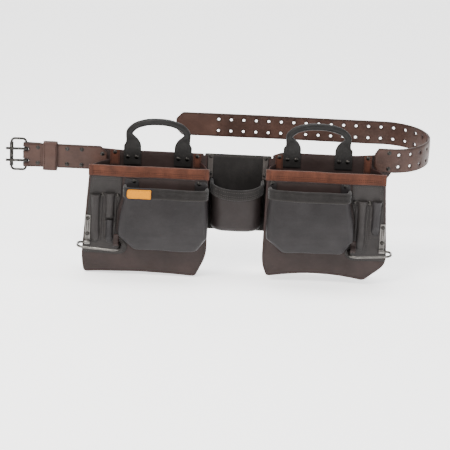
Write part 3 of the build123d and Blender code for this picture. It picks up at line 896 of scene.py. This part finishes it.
def make_front_pocket(side, pouch, thread):
    lift = pouch["lift"]
    sign = pouch["sign"]
    (in_a, in_b, in_c), (out_a, out_b, out_c) = pouch["pocket_in"], pouch["pocket_out"]
    spans = [
        (-36.0, in_a, out_a, 89.0, 0.4), (-58.0, in_a, out_a, 90.5, 0.6), (-96.0, in_b, out_b - 3, 96.0, 0.9),
        (-128.0, in_b, out_b, 97.5, 1.0), (-137.0, in_b + 0.5, out_b - 1, 97.5, 0.9),
        (-141.0, in_b + 4, out_b - 5, 97.5, 0.8),
        (-151.0, in_b * 0.45 + in_c * 0.55, out_b * 0.45 + out_c * 0.55, 97, 0.7),
        (-161.5, in_c - 2, out_c + 2, 95.0, 0.5), (-164.5, in_c + 1, out_c - 1, 91.0, 0.3),
        (-165.5, in_c + 3, out_c - 3, 82.0, 0.1), (-165.0, in_c + 5, out_c - 5, 65.5, 0.0),
    ]  # fmt: skip
    levels = [(z + lift, *sorted((sign * a, sign * b)), depth, crown) for z, a, b, depth, crown in spans]
    grid = pocket_grid(levels, FRONT + 0.2, 12, 2.5, 76, side)
    name = f"{side}_pocket_leather"
    shell = thick(name, grid, 2.4 * facing_out(grid), BLACK, worn=4)
    settle(shell, f"{side}_pouch", "black_leather", f"{side}_front_pocket")
    collar = collar_grid(levels, FRONT + 2.2, 15, 1.3, side)
    suede_collar = thick(f"{side}_pocket_suede", collar, 1.7 * facing_out(collar), BLACK_SUEDE)
    settle(suede_collar, f"{side}_pouch", "black_suede", f"{side}_pocket_binding")
    for row in (2, 4, 8):
        grid_seam(thread, collar, row)
    for i, u in enumerate(pouch["ears"]):
        edge = levels[0][1] if abs(levels[0][1] - sign * u) < abs(levels[0][2] - sign * u) else levels[0][2]
        reach = 9 if sign * u > edge else -9
        end, low, high = sign * u + reach, -52 + lift, -21 + lift
        ear = [(edge, low), (end, low), (end, high), (edge, high)]
        place = face_place(side, FRONT + 1.3)
        outline = rounded(ear, [1, 1, 7, 7])
        piece = ply(f"{side}_pocket_ear_{i}", outline, place, 2.2, BLACK, step=4)
        settle(piece, f"{side}_pouch", "black_leather")


def make_centre_pocket(thread):
    spans = [
        (-30.0, 54.0, 58.0, 1.0), (-52.0, 54.0, 57.5, 1.0), (-80.0, 54.0, 57.0, 1.0),
        (-112.0, 53.5, 54.0, 0.9), (-126.0, 51.0, 49.0, 0.7), (-133.0, 46.0, 38.0, 0.4),
        (-135.0, 42.0, 22.0, 0.2), (-134.5, 40.0, 6.5, 0.0),
    ]  # fmt: skip
    levels = [(z, -half, half, depth, crown) for z, half, depth, crown in spans]
    grid = pocket_grid(levels, PANEL_T + 0.2, 27, 1.5, 50, dip=10.0)
    shell = thick("centre_pocket_leather", grid, 2.4 * facing_out(grid), BLACK_LOW, worn=4)
    settle(shell, "centre_pouch", "black_leather", "centre_pocket")
    collar = collar_grid(levels, PANEL_T + 2.2, 27, 1.5, dip=10.0)
    suede_collar = thick("centre_pocket_suede", collar, 1.7 * facing_out(collar), BLACK_SUEDE)
    settle(suede_collar, "centre_pouch", "black_suede", "centre_pocket_binding")
    for row in (2, 4, 8):
        grid_seam(thread, collar, row)


def make_centre():
    thread, rivets = Bits(), Bits()
    outline = rounded([(-69.4, -140), (69.4, -140), (69.4, 23), (-69.4, 23)], [8, 8, 3, 3])
    place = flat_place(PANEL_T / 2, 0.2, 11.0)
    panel = ply("centre_back_suede", outline, place, PANEL_T, BLACK_SUEDE, edge=1.2)
    settle(panel, "centre_pouch", "black_suede", "centre_back_panel")
    seam_on(thread, flat_place(PANEL_T, 0.2, 11.0), edge_path(outline, 4), 0.1, closed=True)
    for i, side in enumerate((-1, 1)):
        x = side * 57
        strip = rounded([(x - 5.2, -28), (x + 5.2, -28), (x + 5.2, 22.8), (x - 5.2, 22.8)], 2.5)
        on = flat_place(PANEL_T + 1.1, 0.2, 11.0)
        piece = ply(f"centre_side_strip_{i}", strip, on, 1.9, GREY, step=3)
        settle(piece, "centre_pouch", "grey_leather", *(["centre_side_strips"] if i == 0 else []))
        for dx in (-3.6, 3.6):
            seam_on(thread, on, [(x + dx, -25), (x + dx, 20)], 1.05)
        for z in (18, -18):
            turned_part(rivets, RIVET_HEAD, x, PANEL_T + 2, z)
    make_centre_pocket(thread)
    settle(thread.build("centre_stitching", THREAD), "centre_pouch", "grey_leather")
    settle(rivets.build("centre_rivet_heads", GUNMETAL), "centre_pouch", "gunmetal", "centre_rivets")


def make_flex(side):
    """The thin leather strip that joins a pouch to the centre panel."""
    sign = POUCHES[side]["sign"]
    outline = rounded(mirrored(side, [(64, -136), (79, -136), (79, 19), (64, 19)]), 2)
    place = flat_place(PANEL_T + 0.55, 0.2, 11.0)
    strip = ply(f"{side}_flex_strip", outline, place, 1.0, DARK, step=2.5, edge=0.4)
    start, end = (sign * 0.0705, -0.004, 0), (sign * 0.0735, -0.004, 0)
    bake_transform(strip)
    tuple(start)
    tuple(end)


# ---------------------------------------------------------------- tool side


def patch_outline(side, pouch):
    lift = pouch["lift"]
    high, low = pouch["top"] - 20.5, -184 + lift
    heel = max(222, pouch["pocket_out"][2] + 6)
    mouth_u = max(abs(x) for x in pouch["mouth"])
    points = [
        (mouth_u - 4, high), (236, high), (236, -60 + lift), (247, -96 + lift), (247, -137 + lift),
        (heel, -163 + lift), (heel, low + 10), (heel + 10, low), (313, low),
    ]  # fmt: skip
    return rounded(mirrored(side, points), [2, 4, 8, 14, 14, 8, 9, 9, 4])


def make_patch(side, pouch, thread):
    outline = patch_outline(side, pouch)
    place = face_place(side, FRONT + 1.25)
    patch = ply(f"{side}_patch_leather", outline, place, 2.3, PATCH_LEATHER)
    settle(patch, f"{side}_pouch", "black_leather", f"{side}_tool_patch")
    for gap in (2.8, 6.2):
        seam_on(thread, place, edge_path(outline, gap), 1.25, closed=True)
    lift, sign = pouch["lift"], pouch["sign"]
    for u in (274.5, 244.5):
        for dx in (-1.6, 1.6):
            seam_on(thread, place, [(sign * u + dx, -66 + lift), (sign * u + dx, -150 + lift)], 1.25)


def make_sleeves(side, pouch, thread):
    """Tool tubes of soft leather, flared at the mouth and pinched to a tongue at the foot."""
    lift, sign = pouch["lift"], pouch["sign"]
    for i, (u, high, low, radius) in enumerate(pouch["sleeves"]):
        rows = []
        for t in np.linspace(0, 1, 34):
            z = high + (low - high) * t
            mouth = 1 + 0.1 * (1 - smooth(t / 0.12))
            foot = smooth((1 - t) / 0.22)
            r = radius * mouth * (1 - 0.12 * math.sin(math.pi * t))
            tall = r * (0.35 + 0.65 * foot)
            width = r * (1.0 - 0.25 * (1 - smooth((1 - t) / 0.1)))
            angle = np.linspace(0, math.pi, 22)
            x = sign * u - width * np.cos(angle)
            d = PATCH + tall * np.sin(angle) ** 0.85 * (1 + 0.04 * math.sin(9 * t + i))
            droop = 3.5 * np.sin(angle) * (t > 0.98)
            height = np.full_like(x, z + lift) - droop
            rows.append(np.stack([x, -(d + belly(side, x, z + lift)), height], axis=1))
        grid = np.array(rows)
        finish = BLACK if i == len(pouch["sleeves"]) - 1 else PATCH_LEATHER
        sleeve = thick(f"{side}_sleeve_{i}", grid, 1.8 * facing_out(grid), finish, worn=3)
        settle(sleeve, f"{side}_pouch", "black_leather", *([f"{side}_tool_sleeves"] if i == 0 else []))
        top, foot = radius + 4.5, radius + 3
        wing = [(u - top, high), (u + top, high), (u + foot, low - 3), (u - foot, low - 3)]
        outline = rounded(mirrored(side, wing), [3, 3, 8, 8])
        place = face_place(side, PATCH + 0.6 + 0.1 * i)
        base = ply(f"{side}_sleeve_base_{i}", outline, place, 1.2, PATCH_LEATHER, step=4, edge=0.5)
        settle(base, f"{side}_pouch", "black_leather")
        seam_on(thread, place, edge_path(outline, 2.0, 3), 0.7, closed=True)


def make_loop_tab(side, pouch):
    """A leather tab folded round the hammer loop's inner end."""
    lift, sign = pouch["lift"], pouch["sign"]
    hub_z = -161 + lift
    hub = 70.1
    line = [(PATCH + 1.0, -140 + lift), (PATCH + 1.2, -150 + lift), (PATCH + 1.6, hub_z + 1)]
    line += [(hub - 4.0 * math.cos(a), hub_z - 4.0 * math.sin(a)) for a in np.linspace(0.35, math.pi, 7)]
    line += [(hub + 2.6, hub_z + 5), (PATCH + 3.4, hub_z + 10), (PATCH + 2.9, -142 + lift)]
    path = curve(line, 44)
    xs = np.linspace(sign * 245 - 5.0, sign * 245 + 5.0, 8)
    grid = np.array([np.stack([xs, np.full(8, -d), np.full(8, z)], axis=1) for d, z in path])
    outwards = 1 if np.cross(grid[0, 1] - grid[0, 0], grid[1, 0] - grid[0, 0])[1] < 0 else -1
    tab = thick(f"{side}_loop_leather", grid, 1.5 * outwards, DARK, worn=2)
    settle(tab, f"{side}_pouch", "dark_leather", f"{side}_loop_tab")


def make_rivets(side, pouch):
    sign, lift = pouch["sign"], pouch["lift"]
    bits = Bits()
    top = pouch["panel_top"][1]
    spots = [(sign * (u + dx), top - 13, PANEL_T + 3.4, 0) for u in pouch["handle"] for dx in (-9, 9)]
    spots += [(x, z, PANEL_T + STRAP_T, 0) for x, z in pouch["anchor"]]
    spots += [(sign * u, stay_top - 5, PANEL_T + 2.2, 0) for u, _, stay_top in pouch["stays"]]
    spots += [(sign * u, -26 + lift, FRONT + 2.4, 60) for u in pouch["ears"]]
    spots += [(sign * 304.8, z + lift, PATCH + 1.8, 60) for z in (-110, -143)]
    spots += [(sign * u, -58 + lift, PATCH + 0.8, 60) for u in (243.5, 274.5)]
    for x, z, face, back in spots:
        swell = float(belly(side, np.array([x]), np.array([z]))[0]) if back else 0.0
        turned_part(bits, RIVET_HEAD, x, face + swell, z)
        turned_part(bits, RIVET_CAP, x, back + swell * 0.9, z, -1)
    settle(bits.build(f"{side}_rivet_heads", GUNMETAL), f"{side}_pouch", "gunmetal", f"{side}_rivets")


# ---------------------------------------------------------------- handles


def make_handle(side, pouch):
    """A flat strap riveted at both ends and rolled into a round grip between them."""
    sign, rise = pouch["sign"], pouch["rise"]
    low_u, high_u = pouch["handle"]
    fold = pouch["panel_top"][1] + 2.5
    foot = pouch["panel_top"][1] - 30
    left = [
        (low_u, foot), (low_u, fold - 14), (low_u, fold), (low_u - 1.0, fold + rise * 0.24),
        (low_u - 7.2, fold + rise * 0.48), (low_u - 4.5, fold + rise * 0.62),
        (low_u + 7, fold + rise * 0.775), (low_u + 25, fold + rise * 0.87), (low_u + 42, fold + rise * 0.905),
    ]  # fmt: skip
    middle = (low_u + high_u) / 2
    right = [(2 * middle - u, z) for u, z in reversed(left)]
    line = curve(left + right, 150)
    along = np.gradient(line, axis=0)
    along /= np.linalg.norm(along, axis=1)[:, None]
    rings, wear, edge_line, thread = [], [], [], Bits()
    for (u, z), (tu, tz) in zip(line, along):
        up = (z - fold) / rise
        roll = float(smooth((up - 0.1) / 0.42))
        half, deep = 18.0 + (7.2 - 18.0) * roll, 1.7 + (6.0 - 1.7) * roll
        power = 5.0 + (2.0 - 5.0) * roll
        angle = np.linspace(0, 2 * math.pi, 36, endpoint=False)
        c, s = np.cos(angle), np.sin(angle)
        wide = half * np.sign(c) * np.abs(c) ** (2 / power)
        front = deep * np.sign(s) * np.abs(s) ** (2 / power)
        pinch = 1.2 * math.sin(math.pi * roll) * np.cos(angle * 2)
        side_u, side_z = -tz, tu
        x = u + side_u * wide
        rings.append(np.stack([sign * x, -(5.7 + front + pinch * (deep > 1.8)), z + side_z * wide], axis=1))
        wear.append(0.25 if roll > 0.9 else 0.5)
        reach = half - 3.2
        edge_line.append([sign * (u + side_u * reach), -(5.7 + deep + pinch[9]), z + side_z * reach])
    handle = loft(f"{side}_rolled_handle", rings, HANDLE, np.array(wear))
    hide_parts(f"{side}_handle", f"{side}_handle_tabs")
    start, end = (0, -0.0057, (fold - 4) * MM), (0, -0.0057, (fold + 4) * MM)
    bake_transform(handle)
    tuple(start)
    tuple(end)
    for part in (edge_line[2:62], edge_line[88:148]):
        seam(thread, part, [(0, -1, 0)] * len(part))
    stitching = thread.build(f"{side}_handle_stitching", DARK_THREAD)
    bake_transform(stitching)
    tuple(start)
    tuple(end)


# ---------------------------------------------------------------- straps


def strap_place(route, z):
    """place() along a route seen from above, s along it, v up and d on its outer side."""
    route = np.array(route, float)
    far = np.concatenate([[0], np.cumsum(np.linalg.norm(np.diff(route, axis=0), axis=1))])
    along = np.gradient(route, axis=0) / np.gradient(far)[:, None]

    def place(s, v, d):
        x, y = np.interp(s, far, route[:, 0]), np.interp(s, far, route[:, 1])
        tx, ty = np.interp(s, far, along[:, 0]), np.interp(s, far, along[:, 1])
        size = np.hypot(tx, ty)
        return np.stack([x + ty / size * d, y - tx / size * d, z + v], axis=1)

    return place, far[-1]


def slot_loop(s, v, half_s, half_v):
    low_s, high_s, low_v, high_v = s - half_s, s + half_s, v - half_v, v + half_v
    corners = [(low_s, low_v), (high_s, low_v), (high_s, high_v), (low_s, high_v)]
    return resample(rounded(corners, 3), 3)


def make_buckle_strap():
    bar_x, bar_y, bar_turn = -441.0, -5.0, 4.5
    angles = np.linspace(math.pi / 2, 1.5 * math.pi, 9)
    loop = [(bar_x + bar_turn * math.cos(a), bar_y + bar_turn * math.sin(a)) for a in angles]
    route = [(-408, -2.4), (-420, -2.3), (-430, -1.6), *loop, (-430, -7.6), (-418, -6.3), (-400, -6.25)]
    dense = curve(route, 90)
    straight = np.stack([np.linspace(-399, -272, 80), np.full(80, -6.25)], axis=1)
    place, length = strap_place(np.vstack([dense, straight]), BUCKLE_Z)
    half = STRAP_HALF

    def s_of(x):
        return length - (-272 - x)

    outline = [
        (0.5, -half), (length - 13, -half), (length, -half + 15),
        (length, half - 15), (length - 13, half), (0.5, half),
    ]  # fmt: skip
    level = np.zeros(70)
    bar_s = float(np.argmin(place(np.arange(70.0), level, level)[:, 0]))
    holes = [slot_loop(bar_s, v, 13, 4.2) for v in (12.5, -12.5)]

    def layered(s, v, d):
        thin = np.where(s < bar_s, 0.78, 1.0)
        warp = ripple(s, v, 0.18, 12.0)
        return place(s, v * (1 + 0.004 * np.sin(s / 31)), d * thin + warp)

    outline = rounded(outline, [2, 3, 3, 3, 3, 2])
    strap = ply("buckle_strap_leather", outline, layered, STRAP_T, OILED, holes, 4.5, 1.2)
    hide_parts("buckle_strap", "buckle_strap_anchor")
    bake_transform(strap)
    thread = Bits()
    for v in (-half + 3, half - 3):
        seam_on(thread, layered, [(s_of(-436), v), (s_of(-410), v)], 2.3)
    seam_on(thread, layered, [(s_of(-410), -half + 3), (s_of(-410), half - 3)], 2.3)
    settle(thread.build("buckle_strap_stitching", BROWN_THREAD), "buckle_strap", "oiled_leather")
    rivets = Bits()
    for v in (16.5, -16.5):
        turned_part(rivets, RIVET_CAP, -416, 0.5, BUCKLE_Z + v, -1)
        for x in (-416, -355, -325):
            turned_part(rivets, RIVET_HEAD, x, 8.6, BUCKLE_Z + v)
    heads = rivets.build("buckle_strap_rivet_heads", GUNMETAL)
    settle(heads, "buckle_strap", "gunmetal", "buckle_strap_rivets")


def make_tail_strap():
    heading = math.radians(16)
    bend = np.array([325.0, -STRAP_DEPTH])
    out = bend + 9 * np.array([math.cos(heading), math.sin(heading)])
    centre = out + 93 * np.array([-math.sin(heading), math.cos(heading)])
    turn = [centre + 93 * np.array([math.sin(h), -math.cos(h)]) for h in np.linspace(heading, math.pi, 120)]
    start = np.stack([np.linspace(282, 325, 20), np.full(20, -STRAP_DEPTH)], axis=1)
    back = np.stack([np.linspace(turn[-1][0] - 2, -137, 220), np.full(220, turn[-1][1])], axis=1)
    place, length = strap_place(np.vstack([start, out[None], np.array(turn[1:]), back]), TAIL_Z)
    half = STRAP_HALF
    hole_s = [length - 92 - 27 * k for k in range(24)]
    cut = length - 92 - 27 * 18.5

    def worn_in(s, v, d):
        wave = ripple(s, v, 0.35, 13.0) * smooth((s - 60) / 60)
        curl = 0.5 * (v / half) ** 2 * smooth((s - 60) / 60)
        drift = 1.6 * np.sin((s - 60) / 95) * smooth((s - 120) / 120) * smooth((length - s) / 80 + 0.2)
        at = place(s, v + 0.5 * np.sin(s / 70) * smooth((s - 60) / 80), d + wave - curl + drift)
        at[:, 2] += TAIL_CLIMB * smooth((s - 52) / 266)
        return at

    first = [(0, -half + 12), (8, -half), (cut, -half), (cut, half), (8, half), (0, half - 12)]
    second = [
        (cut, -half), (length - 14, -half), (length, -half + 14),
        (length, half - 14), (length - 14, half), (cut, half),
    ]  # fmt: skip
    holes = [circle(s, v, 3.0, 14) for s in hole_s for v in (-12.5, 12.5)]
    near = [h for h in holes if h[:, 0].max() < cut]
    far = [h for h in holes if h[:, 0].min() > cut]
    first, second = rounded(first, [2, 2, 0, 0, 2, 2]), rounded(second, [0, 3, 3, 3, 3, 0])
    begin = ply("tail_strap_start", first, worn_in, STRAP_T, OILED, near, 4.5, 1.2, cut)
    run = ply("tail_strap_run", second, worn_in, STRAP_T, OILED, far, 4.5, 1.2, cut)
    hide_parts("tail_strap_anchor")
    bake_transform(begin)
    settle(run, "tail_strap", "oiled_leather", "tail_strap")


def make_keeper():
    """The leather loop that holds the strap's end down, sewn flat at the back."""
    near, far, low, high = 2.2, 15.1, BUCKLE_Z - 29.5, BUCKLE_Z + 29.5
    loop = rounded([(near, low), (far, low), (far, high), (near, high)], 5, 7)
    ring = evenly(np.vstack([loop, loop[:1]]), 97)[:-1]
    middle = ring.mean(0)
    rows = []
    for x in np.linspace(-404, -376, 9):
        out = ring - middle
        out /= np.linalg.norm(out, axis=1)[:, None]
        bulge = 0.4 * (1 - ((x + 390) / 14) ** 2)
        at = ring + out * (1.3 + bulge)
        rows.append(np.stack([np.full(len(at), x), -at[:, 0], at[:, 1]], axis=1))
    grid = np.array(rows)
    c = len(ring) // 4
    normal = np.cross(grid[4, c + 1] - grid[4, c - 1], grid[5, c] - grid[3, c])
    outwards = 1 if normal @ (grid[4, c] - grid[4].mean(0)) > 0 else -1
    keeper = thick("keeper_leather", grid, 2.7 * outwards, OILED, closed=True, worn=5)
    settle(keeper, "keeper", "oiled_leather", "strap_keeper")
    thread = Bits()
    for x in (-401.2, -378.8):
        line = [(x, -17.0, z) for z in np.linspace(BUCKLE_Z - 27, BUCKLE_Z + 27, 20)]
        seam(thread, line, [(0, -1, 0)] * 20)
    settle(thread.build("keeper_stitching", BROWN_THREAD), "keeper", "oiled_leather")


def make_label(thread):
    corners = [(-224, -55.5), (-175, -55.5), (-175, -36.5), (-224, -36.5)]
    outline = rounded(corners, [6, 2, 2, 6])

    def place(x, z, d):
        return np.stack([x, -(93.6 + d + belly("left", x, z) + ripple(x, z, 0.9, 9.0)), z], axis=1)

    tag = ply("left_yellow_label", outline, place, 1.2, YELLOW, step=3, edge=0.5)
    settle(tag, "left_pouch", "yellow_label", "left_label_tag")
    fine = {"pitch": 3.2, "length": 2.4, "radius": 0.32}
    seam_on(thread, place, edge_path(outline, 1.8, 3), 0.6, closed=True, **fine)


# ---------------------------------------------------------------- carried-over metalwork


def refine(node, material, bevel=0.35):
    """A CAD node kept as it is, with softened edges and its own finish."""
    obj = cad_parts[node]
    obj.data.materials.clear()
    obj.data.materials.append(material)
    weld = obj.modifiers.new("weld", "WELD")
    weld.merge_threshold = 0.00001
    if bevel:
        soften = obj.modifiers.new("soften", "BEVEL")
        soften.width = bevel * MM
        soften.segments = 2
        soften.limit_method = "ANGLE"
        soften.angle_limit = math.radians(50)
    obj.data.polygons.foreach_set("use_smooth", [True] * len(obj.data.polygons))


def make_side(side):
    pouch = POUCHES[side]
    grey, dark = Bits(), Bits()
    make_gusset(side, pouch)
    make_front(side, pouch, dark)
    make_binding(side, pouch)
    make_panel(side, pouch, dark)
    make_stays(side, pouch, dark)
    make_front_pocket(side, pouch, dark)
    make_patch(side, pouch, grey)
    make_sleeves(side, pouch, grey)
    make_loop_tab(side, pouch)
    make_rivets(side, pouch)
    make_handle(side, pouch)
    make_flex(side)
    if side == "left":
        make_label(grey)
    settle(grey.build(f"{side}_grey_stitching", THREAD), f"{side}_pouch", "grey_leather")
    settle(dark.build(f"{side}_dark_stitching", DARK_THREAD), f"{side}_pouch", "dark_leather")
    refine(f"{side}_loop_plate", STEEL)
    refine(f"{side}_hammer_loop", WIRE, 0)


# ---------------------------------------------------------------- stage


def area_light(name, place, aim, size, power, colour=(1, 1, 1)):
    data = bpy.data.lights.new(name, "AREA")
    data.shape = "RECTANGLE"
    data.size, data.size_y = size
    data.energy = power
    data.color = colour
    light = bpy.data.objects.new(name, data)
    bpy.context.scene.collection.objects.link(light)
    light.location = place
    light.rotation_euler = (Vector(aim) - Vector(place)).to_track_quat("-Z", "Y").to_euler()


def make_stage():
    """Pale floor that sweeps up into a backdrop, and soft lights."""
    line = curve([(-3.0, 0.0), (0.0, 0.0), (2.2, 0.0), (3.2, 0.35), (3.8, 1.4), (4.0, 3.5)], 60)
    across = np.linspace(-6000, 6000, 12)
    grid = np.array([[(x, y * 1000, FLOOR_Z + z * 1000) for x in across] for y, z in line])
    floor = thick("floor", grid, 10, floor_finish())
    world = bpy.data.worlds.new("studio")
    bpy.context.scene.world = world
    world.use_nodes = True
    background = world.node_tree.nodes["Background"]
    background.inputs["Color"].default_value = (1, 1, 1, 1)
    background.inputs["Strength"].default_value = 0.6
    area_light("key", (-1.3, -1.8, 2.0), (0, 0, -0.1), (1.1, 0.8), 105, (1.0, 0.96, 0.91))
    area_light("fill", (1.9, -1.9, 0.9), (0, 0, -0.1), (1.4, 1.4), 40)
    area_light("top", (0.0, 0.4, 2.3), (0, 0, 0), (2.4, 1.2), 75)


def make_camera():
    elevation, roll = math.radians(17), math.radians(2.7)
    look = Vector((-0.0211, -0.0368, -0.1204))
    data = bpy.data.cameras.new("camera")
    data.lens, data.sensor_width = 153.8, 36
    data.clip_end = 50
    camera = bpy.data.objects.new("camera", data)
    bpy.context.scene.collection.objects.link(camera)
    camera.location = look + 4.0 * Vector((0, -math.cos(elevation), math.sin(elevation)))
    turn = (look - camera.location).to_track_quat("-Z", "Y").to_matrix().to_4x4()
    camera.rotation_euler = (turn @ Matrix.Rotation(roll, 4, "Z")).to_euler()
    bpy.context.scene.camera = camera


for name in POUCHES:
    make_side(name)
make_centre()
make_buckle_strap()
make_tail_strap()
make_keeper()
for node in ("buckle_frame", "buckle_roller", "upper_prong", "lower_prong"):
    refine(node, GUNMETAL, 0.3 if "prong" in node else 0)
make_stage()
make_camera()
